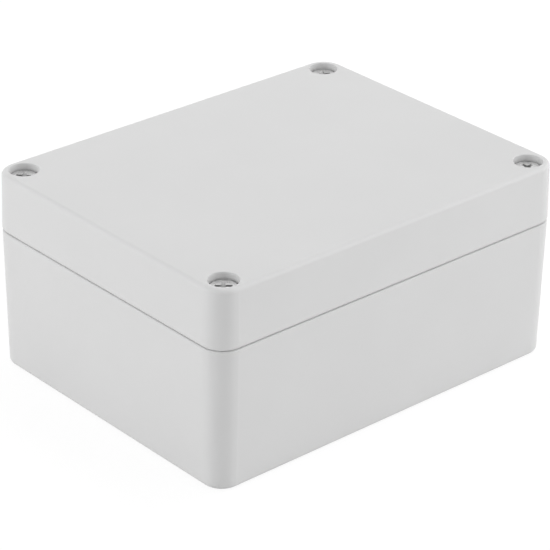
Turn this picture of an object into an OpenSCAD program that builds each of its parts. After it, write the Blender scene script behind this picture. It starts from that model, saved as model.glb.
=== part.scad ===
// Sealed plastic project box: a deep base, a deep lid and four captive screws.
//
// The box stands on its floor with +Z up. The origin is at the middle of the
// underside. X runs along the long side and Y along the short side. The base and
// the lid meet at the joint line, where the tongue round the base's mouth enters
// the groove in the lid and presses on the gasket. The lid screws and the wall
// screws both sit in the corner towers, outside the seal.

/* [Box] */
// Length of the lid, where the box is longest
box_length = 115; // [100:1:180]
// Width of the lid, where the box is widest
box_width = 90; // [80:1:150]
// Height of the base, from its underside to the joint line
base_height = 38.6; // [34:0.2:80]
// Height of the lid above the joint line
lid_height = 16.4; // [14:0.2:40]
// Radius of the upright corners of the lid
corner_radius = 6.2; // [5.4:0.1:8]
// How far the lid stands out past the base all round
lid_overhang = 0.1; // [0:0.05:0.3]

/* [Walls] */
// Thickness of the base's walls
wall = 3; // [2.6:0.1:3.6]
// Thickness of the floor
floor_thickness = 3; // [2:0.25:5]
// Thickness of the lid's roof
roof_thickness = 3; // [2:0.25:4]
// Lean of the base's walls in degrees, inward towards the floor
base_draft = 0.95; // [0:0.05:1.5]
// Lean of the lid's walls in degrees, inward towards the roof
lid_draft = 1.3; // [0:0.05:1.5]
// Radius of the base's lower outer edge
foot_edge = 1.3; // [0.4:0.1:2]
// Radius of the lid's upper outer edge
roof_edge = 1.2; // [0.4:0.1:1.6]
// Radius of the lid's lower outer edge, which rolls in to the joint line
rim_edge = 1.15; // [0.2:0.05:1.2]
// Radius of the base's upper outer edge
mouth_edge = 0.4; // [0.1:0.05:0.4]
// Radius between the walls and the floor or roof inside
inside_fillet = 2; // [0.5:0.25:4]

/* [Seal] */
// Thickness of the tongue round the base's mouth
tongue_thickness = 1.2; // [0.8:0.1:1.4]
// Height of the tongue above the joint line
tongue_height = 2.4; // [1.4:0.1:4]
// Gap between the tongue and each side of its groove
groove_gap = 0.2; // [0.1:0.05:0.3]
// Thickness of the lip between the groove and the lid's inside
lip_thickness = 1; // [0.8:0.1:1.6]
// Height of the gasket, pressed
gasket_height = 1.6; // [0.8:0.1:2.4]
// Gap between the gasket and each side of its groove
gasket_gap = 0.05; // [0:0.05:0.2]
// Radius of the seal's corners beside the towers
seal_corner = 2.6; // [2:0.1:4]

/* [Lid screws] */
// Distance from the lid's end faces to the screws
screw_inset_x = 6.25; // [6.1:0.05:8]
// Distance from the lid's long faces to the screws
screw_inset_y = 5.85; // [5.75:0.05:8]
// Diameter of the wells that the screw heads sink into
well_diameter = 7.8; // [7.4:0.1:8]
// Radius of the wells' upper edges
well_edge = 0.2; // [0.1:0.05:0.4]
// Distance from the roof down to the top of a screw head
head_sink = 1.7; // [0.5:0.1:4]
// Diameter of a screw head
head_diameter = 7; // [6:0.1:7.2]
// Height of a screw head
head_height = 2.6; // [2:0.1:3.4]
// Radius of a screw head's upper edge
head_edge = 0.35; // [0.2:0.05:1.2]
// Width of the cross recess over its arms
recess_width = 4.3; // [3:0.1:5]
// Thickness of the cross recess's arms
recess_arm = 1; // [0.7:0.05:1.3]
// Depth of the cross recess
recess_depth = 2; // [1:0.1:2]
// Diameter of the screws' plain waist, which keeps them in the lid
waist_diameter = 3.1; // [2.2:0.1:3.3]
// Gap round the waist in the lid's web
waist_gap = 0.2; // [0.1:0.05:0.3]
// Thickness of the web that a screw head presses on
web_thickness = 2.5; // [1.5:0.1:3]
// Diameter of the screws' thread
thread_diameter = 4; // [3.9:0.1:4.4]
// Length of the screws' thread
thread_length = 8; // [5:0.5:12]
// Distance from the joint line down to the first turn of the thread
thread_start = 0.8; // [0.2:0.1:2]
// Gap round the thread in the lid's towers
thread_room = 0.4; // [0.2:0.05:0.8]
// How far each screw is turned in degrees: front left, front right, rear left, rear right
screw_turns = [50, 4, 43, 62]; // [0:1:90]

/* [Inserts] */
// Diameter of the brass inserts
insert_diameter = 5.6; // [5.4:0.1:6.4]
// Length of the brass inserts
insert_length = 8; // [5:0.5:10]
// Running gap between a screw's thread and its insert
thread_gap = 0.05; // [0.02:0.01:0.1]
// Gap between an insert and its hole in the tower
insert_gap = 0.03; // [0:0.01:0.1]
// Diameter of the hole under an insert, which takes the screw's end
core_diameter = 4.6; // [4.5:0.1:5]
// Height of that hole's end above the floor, inside the tower
core_end = 4; // [1:0.5:8]

/* [Wall fixing] */
// Distance from the lid's end faces to the wall screws
wall_screw_inset = 7.4; // [7:0.1:9]
// Distance along Y from a lid screw to the wall screw beside it
wall_screw_offset = 10.5; // [9.6:0.1:14]
// Diameter of the holes in the floor for the wall screws
wall_hole = 4.5; // [3.2:0.1:5]
// Diameter of the shafts that the wall screws go down
shaft_diameter = 8.6; // [7:0.1:9]
// Least thickness of a tower between a shaft and the inside
tower_wall = 2.6; // [2.4:0.1:3.4]

/* [Inside the base] */
// Distance from the lid's end faces to the board standoffs
standoff_inset_x = 21.5; // [20:0.5:40]
// Distance from the lid's long faces to the board standoffs
standoff_inset_y = 12; // [11:0.5:30]
// Height of the standoffs above the floor
standoff_height = 6; // [3:0.5:12]
// Diameter of the standoffs at the top
standoff_diameter = 6; // [5:0.2:8]
// How much wider the standoffs are at the floor
standoff_flare = 0.6; // [0:0.1:1.2]
// Diameter of the pilot holes in the standoffs
pilot_diameter = 2.5; // [2:0.1:3.2]
// Depth of the pilot holes
pilot_depth = 5; // [3:0.5:6]
// Distance between neighbouring board guides along the long walls
guide_spacing = 24; // [15:1:26]
// Width of the slot that takes a board's edge
guide_slot = 1.8; // [1.2:0.1:3]
// Thickness of each rib of a guide
guide_rib = 1.2; // [0.8:0.1:2]
// How far the ribs stand out from the wall at the floor
guide_reach = 1.8; // [1:0.1:3]
// Distance from the joint line down to the top of the ribs
guide_drop = 6; // [2:0.5:15]

/* [Hidden] */
$fn = 64;

moulding_grey = [0.84, 0.84, 0.83];
rubber_black = [0.12, 0.12, 0.12];
screw_steel = [0.78, 0.78, 0.78];
insert_brass = [0.80, 0.66, 0.36];

// Signs of X and Y at each corner. The front is the long side at -Y.
front_left = [-1, -1];
front_right = [1, -1];
rear_left = [-1, 1];
rear_right = [1, 1];
corners = [front_left, front_right, rear_left, rear_right];
sides = [-1, 1];

past = 1;           // how far a cut runs past the face that it opens
edge_steps = 8;     // flats in each rounded edge of a section

// Levels
box_top = base_height + lid_height;
head_top = box_top - head_sink;
head_seat = head_top - head_height;
web_bottom = head_seat - web_thickness;
thread_top = base_height - thread_start;
thread_end = thread_top - thread_length;
insert_bottom = base_height - insert_length;
core_bottom = floor_thickness + core_end;
groove_roof = base_height + tongue_height + gasket_height;
roof_inside = box_top - roof_thickness;

// Half sizes at the joint line
lid_half = [box_length / 2, box_width / 2];
base_half = [lid_half.x - lid_overhang, lid_half.y - lid_overhang];
mouth_half = [base_half.x - wall, base_half.y - wall];
corner_centre = [lid_half.x - corner_radius, lid_half.y - corner_radius];
base_radius = corner_radius - lid_overhang;

// How far the leaning walls come in over their height
base_lean = base_height * tan(base_draft);
lid_lean = lid_height * tan(lid_draft);
floor_lean = (base_height - floor_thickness) * tan(base_draft);

// The lid's wall is thicker than the base's, because it holds the groove and its lip.
lid_wall_extra = groove_gap + lip_thickness;
lid_mouth_half = [mouth_half.x - lid_wall_extra, mouth_half.y - lid_wall_extra];
lid_land = lid_overhang + wall - tongue_thickness - groove_gap;
rim_round = min(rim_edge, 0.7 * lid_land);

// Towers: a shaft and its tower's inner corner share one centre.
screw_at = [lid_half.x - screw_inset_x, lid_half.y - screw_inset_y];
shaft_at = [lid_half.x - wall_screw_inset, screw_at.y - wall_screw_offset];
tower_radius = shaft_diameter / 2 + tower_wall;
tower_at = [shaft_at.x - tower_radius, shaft_at.y - tower_radius];

// Fits
insert_bore = thread_diameter + 2 * thread_gap;
insert_hole = insert_diameter + 2 * insert_gap;
waist_hole = waist_diameter + 2 * waist_gap;
tower_bore = thread_diameter + 2 * thread_room;

// Inside
standoff_at = [lid_half.x - standoff_inset_x, lid_half.y - standoff_inset_y];
floor_half_y = mouth_half.y - floor_lean;

// ---------------------------------------------------------------- helpers

// Points along an arc, or its centre alone where the radius is nothing
function arc(centre, radius, start, end) =
    radius == 0 ? [centre] :
    [for (step = [0:edge_steps])
        let (angle = start + (end - start) * step / edge_steps)
            centre + radius * [cos(angle), sin(angle)]];

// One wall in section, X outwards and Y up. The wall leans from `low` to `high`,
// both measured out from X = 0, with its outer corners rounded by low_edge and
// high_edge, and reaches `inward` the other way.
module wall_section(low, high, height, low_edge, high_edge, inward = 0) {
    lean = atan((high - low) / height);
    low_centre = [low + low_edge * (tan(lean) - 1 / cos(lean)), low_edge];
    high_centre = [high - high_edge * (tan(lean) + 1 / cos(lean)), height - high_edge];
    polygon(concat(
        [[-inward, 0]],
        arc(low_centre, low_edge, -90, -lean),
        arc(high_centre, high_edge, -lean, 90),
        [[-inward, height]]
    ));
}

// A block with leaning walls, square corners and edges rounded as wall_section does:
// the two sections that cross in it, each pulled along the other.
module leaning_block(low_half, high_half, height, low_edge, high_edge) {
    intersection() {
        rotate([90, 0, 0])
            linear_extrude(2 * high_half.y + 2 * past, center = true)
                both_ways() wall_section(low_half.x, high_half.x, height, low_edge, high_edge);
        rotate([90, 0, 90])
            linear_extrude(2 * high_half.x + 2 * past, center = true)
                both_ways() wall_section(low_half.y, high_half.y, height, low_edge, high_edge);
    }
}

// A shell's outside: straight walls between upright corners turned round `centre`,
// where low and high are the corner radii at the bottom and the top.
module turned_block(centre, low, high, height, low_edge, high_edge) {
    rotate([90, 0, 0])
        linear_extrude(2 * centre.y, center = true)
            both_ways() translate([centre.x, 0])
                wall_section(low, high, height, low_edge, high_edge, centre.x);
    rotate([90, 0, 90])
        linear_extrude(2 * centre.x, center = true)
            both_ways() translate([centre.y, 0])
                wall_section(low, high, height, low_edge, high_edge, centre.y);
    for (turn = [0:3])
        translate([(turn == 0 || turn == 3 ? 1 : -1) * centre.x, (turn < 2 ? 1 : -1) * centre.y, 0])
            rotate([0, 0, 90 * turn])
                rotate_extrude(angle = 90) wall_section(low, high, height, low_edge, high_edge);
}

module both_ways() {
    children();
    mirror([1, 0]) children();
}

module at_corners(place) {
    for (corner = corners)
        translate([corner.x * place.x, corner.y * place.y, 0]) children();
}

module round_rectangle(half, radius) {
    square([2 * half.x, 2 * (half.y - radius)], center = true);
    square([2 * (half.x - radius), 2 * half.y], center = true);
    for (x = sides, y = sides)
        translate([x * (half.x - radius), y * (half.y - radius)]) circle(radius);
}

// The line of the seal: the mouth of the base, which steps in round each tower.
// It is moved outwards by `grow`, or inwards where grow is negative.
module seal_outline(grow) {
    radius = tower_radius - grow;
    round_rectangle([mouth_half.x + grow, tower_at.y + grow], seal_corner + grow);
    round_rectangle([tower_at.x + grow, mouth_half.y + grow], seal_corner + grow);
    for (corner = corners)
        mirror([corner.x < 0 ? 1 : 0, 0]) mirror([0, corner.y < 0 ? 1 : 0])
            translate(tower_at + [grow, grow])
                difference() {
                    square(radius);
                    translate([radius, radius]) circle(radius);
                }
}

// ---------------------------------------------------------------- base

module base() {
    color(moulding_grey)
        difference() {
            union() {
                difference() {
                    turned_block(corner_centre, base_radius - base_lean, base_radius, base_height,
                        foot_edge, mouth_edge);
                    base_cavity();
                }
                tongue();
                at_corners(standoff_at) standoff();
                board_guides();
            }
            at_corners(standoff_at) pilot_hole();
            at_corners(screw_at) insert_seat();
            at_corners(shaft_at) wall_screw_shaft();
        }
}

// The room inside the base. It runs on past the mouth at the same lean.
module base_cavity() {
    depth = base_height - floor_thickness + past;
    lean = depth * tan(base_draft);
    grown = mouth_half + [1, 1] * past * tan(base_draft);
    intersection() {
        translate([0, 0, floor_thickness])
            leaning_block(grown - [lean, lean], grown, depth, inside_fillet, 0);
        linear_extrude(base_height + 2 * past) seal_outline(0);
    }
}

module tongue() {
    foot = 0.5;     // how deep the tongue is rooted in the wall
    translate([0, 0, base_height - foot])
        linear_extrude(tongue_height + foot)
            difference() {
                seal_outline(tongue_thickness);
                seal_outline(0);
            }
}

module standoff() {
    root = 0.5;     // how deep a standoff is rooted in the floor
    translate([0, 0, floor_thickness - root])
        cylinder(h = standoff_height + root, d1 = standoff_diameter + standoff_flare,
            d2 = standoff_diameter);
}

module pilot_hole() {
    translate([0, 0, floor_thickness + standoff_height - pilot_depth])
        cylinder(h = pilot_depth + past, d = pilot_diameter);
}

// Pairs of ribs down the long walls, which hold a board on edge across the box
module board_guides() {
    root = 0.5;     // how deep a rib is rooted in the floor and the wall
    height = base_height - guide_drop - floor_thickness + root;
    depth = guide_reach + floor_lean + root;
    for (place = [-1:1], rib = sides, side = sides)
        translate([place * guide_spacing + rib * (guide_slot + guide_rib) / 2,
            side * (floor_half_y - guide_reach + depth / 2), floor_thickness - root + height / 2])
            cube([guide_rib, depth, height], center = true);
}

// The stepped hole for an insert, with room under it for the screw's end
module insert_seat() {
    translate([0, 0, insert_bottom])
        cylinder(h = insert_length + past, d = insert_hole);
    translate([0, 0, core_bottom])
        cylinder(h = insert_bottom - core_bottom + past, d = core_diameter);
}

// The shaft that a wall screw goes down, and its hole through the floor
module wall_screw_shaft() {
    translate([0, 0, floor_thickness])
        cylinder(h = base_height, d = shaft_diameter);
    translate([0, 0, -past])
        cylinder(h = floor_thickness + 2 * past, d = wall_hole);
}

// ---------------------------------------------------------------- lid

module lid() {
    color(moulding_grey)
        difference() {
            translate([0, 0, base_height])
                turned_block(corner_centre, corner_radius, corner_radius - lid_lean, lid_height,
                    rim_round, roof_edge);
            lid_cavity();
            groove();
            at_corners(screw_at) screw_way();
            at_corners(shaft_at) shaft_relief();
        }
}

// The room inside the lid, within the lip
module lid_cavity() {
    depth = roof_inside - base_height + past;
    lean = depth * tan(lid_draft);
    grown = lid_mouth_half + [1, 1] * past * tan(lid_draft);
    intersection() {
        translate([0, 0, base_height - past])
            leaning_block(grown, grown - [lean, lean], depth, 0, inside_fillet);
        translate([0, 0, base_height - 2 * past])
            linear_extrude(depth + 2 * past) seal_outline(-lid_wall_extra);
    }
}

module groove() {
    translate([0, 0, base_height - past])
        linear_extrude(groove_roof - base_height + past)
            difference() {
                seal_outline(tongue_thickness + groove_gap);
                seal_outline(-groove_gap);
            }
}

// From the top: the well for the head, the hole in the web that the thread can't
// pass, and the bore that takes the thread when the screw is drawn up.
module screw_way() {
    translate([0, 0, head_seat])
        rotate_extrude() well_section();
    translate([0, 0, web_bottom - past])
        cylinder(h = web_thickness + 2 * past, d = waist_hole);
    translate([0, 0, base_height - past])
        cylinder(h = web_bottom - base_height + past, d = tower_bore);
}

// Half the section of a well, with its rounded upper edge
module well_section() {
    depth = box_top - head_seat;
    lip = [well_diameter / 2 + well_edge, depth - well_edge];
    polygon(concat(
        [[0, 0], [well_diameter / 2, 0]],
        arc(lip, well_edge, 180, 90),
        [[lip.x, depth + past], [0, depth + past]]
    ));
}

// Blind hole over a wall screw's shaft, which keeps the tower's walls even
module shaft_relief() {
    translate([0, 0, base_height - past])
        cylinder(h = roof_inside - base_height + past, d = shaft_diameter);
}

// ---------------------------------------------------------------- small pieces

module gasket() {
    color(rubber_black)
        translate([0, 0, groove_roof - gasket_height])
            linear_extrude(gasket_height)
                difference() {
                    seal_outline(tongue_thickness + groove_gap - gasket_gap);
                    seal_outline(gasket_gap - groove_gap);
                }
}

// A brass bush with a collar at each end and a waist between them
module insert(corner) {
    waist_depth = 0.4;
    collar = insert_length / 4;
    radius = insert_diameter / 2;
    bore = insert_bore / 2;
    color(insert_brass)
        translate([corner.x * screw_at.x, corner.y * screw_at.y, insert_bottom])
            rotate_extrude()
                polygon([
                    [bore, 0], [radius, 0], [radius, collar], [radius - waist_depth, collar],
                    [radius - waist_depth, insert_length - collar],
                    [radius, insert_length - collar], [radius, insert_length],
                    [bore, insert_length]
                ]);
}

module lid_screw(corner, turn) {
    color(screw_steel)
        translate([corner.x * screw_at.x, corner.y * screw_at.y, 0])
            rotate([0, 0, turn]) difference() {
                union() {
                    translate([0, 0, head_seat]) screw_head();
                    translate([0, 0, thread_top - past])
                        cylinder(h = head_seat - thread_top + 2 * past, d = waist_diameter);
                    screw_thread();
                }
                translate([0, 0, head_top]) cross_recess();
            }
}

module screw_head() {
    radius = head_diameter / 2;
    rotate_extrude()
        polygon(concat(
            [[0, 0], [radius, 0]],
            arc([radius - head_edge, head_height - head_edge], head_edge, 0, 90),
            [[0, head_height]]
        ));
}

// The threaded end at its outer diameter, with a chamfer at each end
module screw_thread() {
    chamfer = thread_diameter / 8;
    radius = thread_diameter / 2;
    rotate_extrude()
        polygon([
            [0, thread_end], [radius - chamfer, thread_end], [radius, thread_end + chamfer],
            [radius, thread_top - chamfer], [radius - chamfer, thread_top], [0, thread_top]
        ]);
}

// Four arms that narrow downwards, and the round hollow where they meet
module cross_recess() {
    floor_share = 0.4;      // width at the bottom over the width at the top
    over = 1 + (1 - floor_share) / recess_depth * past;
    module cone(width)
        translate([0, 0, -recess_depth])
            cylinder(h = recess_depth + past, d1 = width * floor_share, d2 = width * over);
    intersection() {
        cone(recess_width);
        for (turn = [0, 90])
            rotate([0, 0, turn])
                cube([2 * recess_width, recess_arm, 3 * recess_depth], center = true);
    }
    cone(1.7 * recess_arm);
}

base();
lid();
gasket();
insert(front_left);  // insert_front_left
insert(front_right);  // insert_front_right
insert(rear_left);  // insert_rear_left
insert(rear_right);  // insert_rear_right
lid_screw(front_left, screw_turns[0]);  // lid_screw_front_left
lid_screw(front_right, screw_turns[1]);  // lid_screw_front_right
lid_screw(rear_left, screw_turns[2]);  // lid_screw_rear_left
lid_screw(rear_right, screw_turns[3]);  // lid_screw_rear_right
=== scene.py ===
"""Looks of the plastic project box: camera, materials, threads, floor and soft light."""

import math

import bmesh
import bpy
from mathutils import Matrix, Vector


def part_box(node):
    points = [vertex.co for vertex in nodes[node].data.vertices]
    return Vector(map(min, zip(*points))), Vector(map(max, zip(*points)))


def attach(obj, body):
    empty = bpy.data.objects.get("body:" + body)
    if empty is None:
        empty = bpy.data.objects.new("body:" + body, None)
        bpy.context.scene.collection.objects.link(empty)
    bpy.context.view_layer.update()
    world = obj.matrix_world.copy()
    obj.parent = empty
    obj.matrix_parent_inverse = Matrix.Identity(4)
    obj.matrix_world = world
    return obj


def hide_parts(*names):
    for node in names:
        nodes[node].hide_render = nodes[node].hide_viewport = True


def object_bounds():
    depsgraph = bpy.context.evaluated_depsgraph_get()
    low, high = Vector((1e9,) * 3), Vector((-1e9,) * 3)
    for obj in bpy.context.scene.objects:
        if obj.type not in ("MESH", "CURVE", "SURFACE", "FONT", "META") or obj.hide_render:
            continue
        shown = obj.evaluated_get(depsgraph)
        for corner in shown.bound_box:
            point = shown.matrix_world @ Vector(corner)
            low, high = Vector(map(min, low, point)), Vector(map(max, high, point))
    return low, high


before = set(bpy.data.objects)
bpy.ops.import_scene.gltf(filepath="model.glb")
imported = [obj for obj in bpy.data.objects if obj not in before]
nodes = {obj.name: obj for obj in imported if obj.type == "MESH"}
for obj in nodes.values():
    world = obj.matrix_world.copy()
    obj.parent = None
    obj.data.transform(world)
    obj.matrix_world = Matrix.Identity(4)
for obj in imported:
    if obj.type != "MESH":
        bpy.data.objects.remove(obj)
cad_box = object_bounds()
scene = bpy.context.scene
scene.view_settings.view_transform = "Standard"

MM = 0.001
CORNERS = ("front_left", "front_right", "rear_left", "rear_right")

# Camera, in degrees and metres. Azimuth 0 looks along +Y. The view's middle lies a little
# off the box's.
VIEW_AZIMUTH = -41.662
VIEW_ELEVATION = 27.526
VIEW_ROLL = 0.832
VIEW_DISTANCE = 0.6893
AIM_RIGHT = -0.000239
AIM_UP = -0.003667
SENSOR_MM = 36
LENS_MM = 173.5

# Materials
IOR = 1.5
NOISE_LOW, NOISE_HIGH = 0.3, 0.7    # where nearly all of a noise's values lie
PLASTIC_GREY = 0.70
# Radius, foot and top of the space round the cross recess where shade is painted, as shares of a
# screw's box
RECESS = (0.33, 0.88, 0.9995)
RECESS_RIM = 1.08                   # where its mask has run out, in radii of the space
RECESS_FADE = 0.001                 # how far below the top it runs out, in screw heights
# Painted shade: the colour inside the cross recess is multiplied by this, standing in for the
# shade that falls in it
RECESS_PAINTED_SHADE = 0.65
RECESS_ROUGHNESS = 0.5

# Threads: M4 coarse on the screws, with a running gap in the inserts
PITCH = 0.7 * MM
FLANK_ANGLE = math.radians(30)
STEPS_PER_TURN = 40
CUT_PAST = 0.04 * MM                # how far a cutter stands out of the surface
SCREW_SURFACE, SCREW_ROOT = 2.0 * MM, 1.57 * MM
SCREW_THREAD = 8.6 * MM             # from the screw's end to past the thread's first turn
INSERT_SURFACE, INSERT_ROOT = 2.05 * MM, 2.30 * MM
WELD = 0.0001 * MM                  # points closer than this become one
CREASE_ANGLE = math.radians(30)

# Floor and light
FLOOR_HALF = 6.0
FLOOR_DROP = 0.0001
FLOOR_GREY = 0.75
SEEN_FLOOR_GREY = 0.16              # what shows of the box's shadow
SEEN_FLOOR_GLOW = 0.88
WORLD_LIGHT = 0.5
LAMP_AIM = Vector((0, 0, 0.03))
LAMP_DISTANCE = 1.2
LAMP_SIDE = 0.6
# Name, azimuth from +X towards +Y, elevation, watts
SOFT_BOXES = (
    ("overhead", 0, 65, 3.88),
    ("behind", 60, 12, 2.34),
    ("left", 150, 12, 5.23),
    ("left_front", 180, 12, 1.28),
    ("right", 300, 12, 3.89),
    ("right_rear", 330, 12, 2.53),
)


def add_object(name, data):
    piece = bpy.data.objects.new(name, data)
    scene.collection.objects.link(piece)
    return piece


# ---------------------------------------------------------------- camera

def make_camera():
    """A long lens on the near left corner, a little above the box."""
    azimuth, elevation, roll = map(math.radians, (VIEW_AZIMUTH, VIEW_ELEVATION, VIEW_ROLL))
    back = Vector((math.sin(azimuth) * math.cos(elevation),
                   -math.cos(azimuth) * math.cos(elevation),
                   math.sin(elevation)))
    right = Vector((math.cos(azimuth), math.sin(azimuth), 0))
    up = back.cross(right)
    middle = (cad_box[0] + cad_box[1]) / 2
    place = middle + AIM_RIGHT * right + AIM_UP * up + VIEW_DISTANCE * back
    turned_right = math.cos(roll) * right + math.sin(roll) * up
    turned_up = math.cos(roll) * up - math.sin(roll) * right

    lens = bpy.data.cameras.new("camera")
    lens.sensor_width = SENSOR_MM
    lens.lens = LENS_MM
    lens.clip_start = 0.01
    lens.clip_end = 20
    camera = add_object("camera", lens)
    camera.matrix_world = Matrix((
        (turned_right.x, turned_up.x, back.x, place.x),
        (turned_right.y, turned_up.y, back.y, place.y),
        (turned_right.z, turned_up.z, back.z, place.z),
        (0, 0, 0, 1),
    ))
    scene.camera = camera


# ---------------------------------------------------------------- materials

class Nodes:
    """The node tree of a material or a world, with short calls to add and join nodes."""

    def __init__(self, owner, output):
        owner.use_nodes = True
        self.owner = owner
        self.tree = owner.node_tree
        self.tree.nodes.clear()
        self.output = self.add(output)

    @classmethod
    def of_material(cls, name):
        return cls(bpy.data.materials.new(name), "ShaderNodeOutputMaterial")

    def add(self, kind, values=None, **settings):
        node = self.tree.nodes.new(kind)
        for key, value in settings.items():
            setattr(node, key, value)
        for key, value in (values or {}).items():
            node.inputs[key].default_value = value
        return node

    def join(self, source, target):
        self.tree.links.new(source, target)

    def surface(self, colour, roughness, metallic=0.0):
        shader = self.add("ShaderNodeBsdfPrincipled", {
            "Base Color": (*colour, 1), "Roughness": roughness,
            "Metallic": metallic, "IOR": IOR,
        })
        self.join(shader.outputs["BSDF"], self.output.inputs["Surface"])
        return shader

    def noise(self, coordinates, scale, detail):
        """Noise with features of about 1/scale metres, from 0 to 1."""
        texture = self.add("ShaderNodeTexNoise", {"Scale": scale, "Detail": detail})
        self.join(coordinates, texture.inputs["Vector"])
        return texture.outputs["Fac"]

    def spread(self, value, low, high, source_low=NOISE_LOW, source_high=NOISE_HIGH):
        """Runs from low to high as value goes from source_low to source_high."""
        ramp = self.add("ShaderNodeMapRange", {
            "From Min": source_low, "From Max": source_high, "To Min": low, "To Max": high,
        })
        self.join(value, ramp.inputs["Value"])
        return ramp.outputs["Result"]

    def math(self, operation, first, second=None):
        """first and second are sockets or numbers."""
        node = self.add("ShaderNodeMath", operation=operation)
        for value, socket in ((first, node.inputs[0]), (second, node.inputs[1])):
            if isinstance(value, (int, float)):
                socket.default_value = value
            elif value is not None:
                self.join(value, socket)
        return node.outputs[0]

    def blend(self, factor, first, second):
        """Runs from one colour to the other as factor goes from 0 to 1."""
        node = self.add("ShaderNodeMix", data_type="RGBA")
        node.inputs["A"].default_value = (*first, 1)
        node.inputs["B"].default_value = (*second, 1)
        self.join(factor, node.inputs["Factor"])
        return node.outputs["Result"]

    def bump(self, height, distance, strength, before=None):
        node = self.add("ShaderNodeBump", {"Distance": distance, "Strength": strength})
        self.join(height, node.inputs["Height"])
        if before is not None:
            self.join(before, node.inputs["Normal"])
        return node.outputs["Normal"]

    def show(self, otherwise, seen):
        """Uses `seen` for rays that show the background: from the camera, off a gloss or
        through glass."""
        path = self.add("ShaderNodeLightPath")
        rays = self.math("MAXIMUM", path.outputs["Is Camera Ray"], path.outputs["Is Glossy Ray"])
        rays = self.math("MAXIMUM", rays, path.outputs["Is Transmission Ray"])
        either = self.add("ShaderNodeMixShader")
        self.join(rays, either.inputs[0])
        self.join(otherwise.outputs[0], either.inputs[1])
        self.join(seen.outputs[0], either.inputs[2])
        self.join(either.outputs[0], self.output.inputs["Surface"])


def moulded_plastic(name, grey):
    """Light grey ABS off a finely spark-eroded tool: even colour, satin sheen, very fine
    grain."""
    m = Nodes.of_material(name)
    shader = m.surface((grey, grey, grey), roughness=0.6)
    place = m.add("ShaderNodeTexCoord").outputs["Object"]

    cloudy = m.noise(place, scale=45, detail=2)
    tint = m.blend(m.spread(cloudy, 0, 1), (grey * 0.990,) * 3, (grey * 1.008,) * 3)
    m.join(tint, shader.inputs["Base Color"])

    grain = m.noise(place, scale=5500, detail=3)
    m.join(m.spread(grain, 0.58, 0.65), shader.inputs["Roughness"])
    waviness = m.noise(place, scale=160, detail=1)
    wavy = m.bump(waviness, distance=0.02 * MM, strength=0.25)
    grainy = m.bump(grain, distance=0.012 * MM, strength=0.35, before=wavy)
    m.join(grainy, shader.inputs["Normal"])
    return m.owner


def rubber(name):
    """Black moulded seal: matt, with a dusty mottle."""
    m = Nodes.of_material(name)
    shader = m.surface((0.02, 0.02, 0.021), roughness=0.6)
    place = m.add("ShaderNodeTexCoord").outputs["Object"]
    mottle = m.noise(place, scale=1800, detail=4)
    m.join(m.spread(mottle, 0.52, 0.72), shader.inputs["Roughness"])
    tint = m.blend(m.spread(mottle, 0, 1), (0.016, 0.016, 0.017), (0.030, 0.030, 0.031))
    m.join(tint, shader.inputs["Base Color"])
    m.join(m.bump(mottle, distance=0.03 * MM, strength=0.4), shader.inputs["Normal"])
    return m.owner


def turned_metal(name, dark, bright, rough_low, rough_high, recess=None):
    """Metal turned on a lathe: rings about the piece's own upright axis, over a fine mottle.
    recess is (radius, foot, top) of a hollow whose colour is darkened with painted shade and
    whose roughness goes up, as shares of the piece's box."""
    m = Nodes.of_material(name)
    shader = m.surface(bright, rough_low, metallic=1.0)
    coordinates = m.add("ShaderNodeTexCoord")
    mottle = m.noise(coordinates.outputs["Object"], scale=2600, detail=3)
    colour = m.blend(m.spread(mottle, 0, 1), dark, bright)
    roughness = m.spread(mottle, rough_low, rough_high)

    centred = m.add("ShaderNodeVectorMath", {1: (0.5, 0.5, 0.0)}, operation="SUBTRACT")
    m.join(coordinates.outputs["Generated"], centred.inputs[0])
    rings = m.add("ShaderNodeTexWave", {"Scale": 9.0, "Distortion": 0.6, "Detail": 1.0},
                  wave_type="RINGS", rings_direction="Z")
    m.join(centred.outputs["Vector"], rings.inputs["Vector"])
    turned = m.bump(rings.outputs["Fac"], distance=0.006 * MM, strength=0.30)
    mottled = m.bump(mottle, distance=0.006 * MM, strength=0.25, before=turned)
    m.join(mottled, shader.inputs["Normal"])

    if recess:
        # Painted shade: the colour inside the cross recess is darkened, and its roughness raised
        hollow = recess_mask(m, centred.outputs["Vector"], *recess)
        painted_shade = m.blend(hollow, (1, 1, 1), (RECESS_PAINTED_SHADE,) * 3)
        both = m.add("ShaderNodeMix", {"Factor": 1.0}, data_type="RGBA", blend_type="MULTIPLY")
        m.join(colour, both.inputs["A"])
        m.join(painted_shade, both.inputs["B"])
        colour = both.outputs["Result"]
        roughness = m.math("MAXIMUM", roughness, m.math("MULTIPLY", hollow, RECESS_ROUGHNESS))
    m.join(colour, shader.inputs["Base Color"])
    m.join(roughness, shader.inputs["Roughness"])
    return m.owner


def recess_mask(m, place, radius, foot, top):
    """1 inside an upright cylinder that ends just under the piece's top, and 0 outside."""
    split = m.add("ShaderNodeSeparateXYZ")
    m.join(place, split.inputs[0])
    across = m.math("SQRT", m.math("ADD", m.math("POWER", split.outputs["X"], 2),
                                   m.math("POWER", split.outputs["Y"], 2)))
    inside = m.spread(across, 1, 0, radius, radius * RECESS_RIM)
    below = m.spread(split.outputs["Z"], 1, 0, top - RECESS_FADE, top)
    above = m.math("GREATER_THAN", split.outputs["Z"], foot)
    return m.math("MULTIPLY", m.math("MULTIPLY", inside, below), above)


def dress(piece, material):
    piece.data.materials.clear()
    piece.data.materials.append(material)


# ---------------------------------------------------------------- threads

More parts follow.
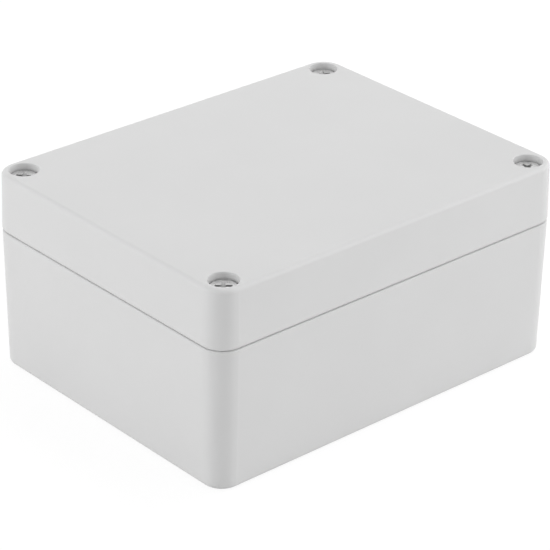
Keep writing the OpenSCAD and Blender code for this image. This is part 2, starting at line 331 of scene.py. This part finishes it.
def thread_cutter(centre, surface, root, low, high):
    """A closed ridge along a helix. surface and root are the radii of its wide and narrow
    side."""
    flat = PITCH / 8
    wide = flat + 2 * (abs(root - surface) + CUT_PAST) * math.tan(FLANK_ANGLE)
    wide_side = surface + math.copysign(CUT_PAST, surface - root)
    section = [(wide_side, -wide / 2), (wide_side, wide / 2), (root, flat / 2), (root, -flat / 2)]
    mesh = bmesh.new()
    rings = []
    for step in range(math.ceil((high - low) / PITCH * STEPS_PER_TURN) + 1):
        angle = 2 * math.pi * step / STEPS_PER_TURN
        rise = low + PITCH * step / STEPS_PER_TURN
        rings.append([
            mesh.verts.new((centre.x + r * math.cos(angle), centre.y + r * math.sin(angle),
                            rise + z))
            for r, z in section
        ])
    for here, there in zip(rings, rings[1:]):
        for i in range(4):
            mesh.faces.new((here[i], here[(i + 1) % 4], there[(i + 1) % 4], there[i]))
    mesh.faces.new(rings[0])
    mesh.faces.new(reversed(rings[-1]))
    bmesh.ops.recalc_face_normals(mesh, faces=mesh.faces)
    data = bpy.data.meshes.new("thread_cutter")
    mesh.to_mesh(data)
    mesh.free()
    return add_object("thread_cutter", data)


def closed_copy(node, name):
    """A copy of a CAD node's mesh with its seams welded, ready for a boolean.
    Its stored normals go, as they don't fit the mesh after the cut."""
    mesh = bmesh.new()
    mesh.from_mesh(nodes[node].data)
    bmesh.ops.remove_doubles(mesh, verts=mesh.verts, dist=WELD)
    data = bpy.data.meshes.new(name)
    mesh.to_mesh(data)
    mesh.free()
    stored = data.attributes.get("custom_normal")
    if stored:
        data.attributes.remove(stored)
    return add_object(name, data)


def cut_thread(node, name, body, material, cutter_of):
    """Replaces a CAD node by a copy of it with a thread cut in."""
    low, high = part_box(node)
    piece = closed_copy(node, name)
    cutter = cutter_of((low + high) / 2, low, high)
    cut = piece.modifiers.new("thread", "BOOLEAN")
    cut.operation = "DIFFERENCE"
    cut.solver = "EXACT"
    cut.object = cutter
    graph = bpy.context.evaluated_depsgraph_get()
    data = bpy.data.meshes.new_from_object(piece.evaluated_get(graph))
    piece.modifiers.clear()
    piece.data = data
    bpy.data.objects.remove(cutter)
    data.shade_smooth()
    data.set_sharp_from_angle(angle=CREASE_ANGLE)
    dress(piece, material)
    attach(piece, body)
    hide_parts(node)


def screw_cutter(centre, low, high):
    """Runs over the thread alone, from below the screw's end."""
    return thread_cutter(centre, SCREW_SURFACE, SCREW_ROOT, low.z - PITCH, low.z + SCREW_THREAD)


def insert_cutter(centre, low, high):
    """Runs right through the insert."""
    return thread_cutter(centre, INSERT_SURFACE, INSERT_ROOT, low.z - PITCH, high.z + PITCH)


# ---------------------------------------------------------------- floor and light

def make_floor():
    """A pale floor that shows near white, and keeps a faint shadow under the box."""
    data = bpy.data.meshes.new("floor")
    ends = ((-1, -1), (1, -1), (1, 1), (-1, 1))
    data.from_pydata([(FLOOR_HALF * x, FLOOR_HALF * y, 0) for x, y in ends], [], [(0, 1, 2, 3)])
    floor = add_object("floor", data)
    floor.location.z = -FLOOR_DROP
    m = Nodes.of_material("floor")
    plain = m.add("ShaderNodeBsdfDiffuse", {"Color": (*(FLOOR_GREY,) * 3, 1)})
    faint = m.add("ShaderNodeBsdfDiffuse", {"Color": (*(SEEN_FLOOR_GREY,) * 3, 1)})
    glow = m.add("ShaderNodeEmission", {"Color": (1, 1, 1, 1), "Strength": SEEN_FLOOR_GLOW})
    shown = m.add("ShaderNodeAddShader")
    m.join(faint.outputs[0], shown.inputs[0])
    m.join(glow.outputs[0], shown.inputs[1])
    m.show(plain, shown)
    dress(floor, m.owner)


def make_world():
    """Even light all round, and plain white where the world itself is seen."""
    scene.world = bpy.data.worlds.new("studio")
    m = Nodes(scene.world, "ShaderNodeOutputWorld")
    light = m.add("ShaderNodeBackground", {"Color": (1, 1, 1, 1), "Strength": WORLD_LIGHT})
    white = m.add("ShaderNodeBackground", {"Color": (1, 1, 1, 1), "Strength": 1.0})
    m.show(light, white)


def soft_box(name, azimuth, elevation, watts):
    """A square lamp that faces the box's middle."""
    turn, tilt = math.radians(azimuth), math.radians(elevation)
    away = Vector((math.cos(turn) * math.cos(tilt),
                   math.sin(turn) * math.cos(tilt),
                   math.sin(tilt)))
    data = bpy.data.lights.new(name, "AREA")
    data.shape = "SQUARE"
    data.size = LAMP_SIDE
    data.energy = watts
    lamp = add_object(name, data)
    lamp.location = LAMP_AIM + away * LAMP_DISTANCE
    lamp.rotation_euler = away.to_track_quat("Z", "Y").to_euler()
    lamp.visible_camera = False


make_camera()

plastic = moulded_plastic("moulded_plastic", PLASTIC_GREY)
dress(nodes["base"], plastic)
dress(nodes["lid"], plastic)
dress(nodes["gasket"], rubber("seal_rubber"))
steel = turned_metal("plated_steel", (0.74, 0.74, 0.74), (0.82, 0.82, 0.815), 0.26, 0.34, RECESS)
brass = turned_metal("turned_brass", (0.66, 0.46, 0.20), (0.80, 0.58, 0.28), 0.24, 0.36)
for corner in CORNERS:
    cut_thread("lid_screw_" + corner, "threaded_screw_" + corner, "lid_screw_" + corner,
               steel, screw_cutter)
    cut_thread("insert_" + corner, "threaded_insert_" + corner, "base",
               brass, insert_cutter)

make_floor()
make_world()
for box in SOFT_BOXES:
    soft_box(*box)
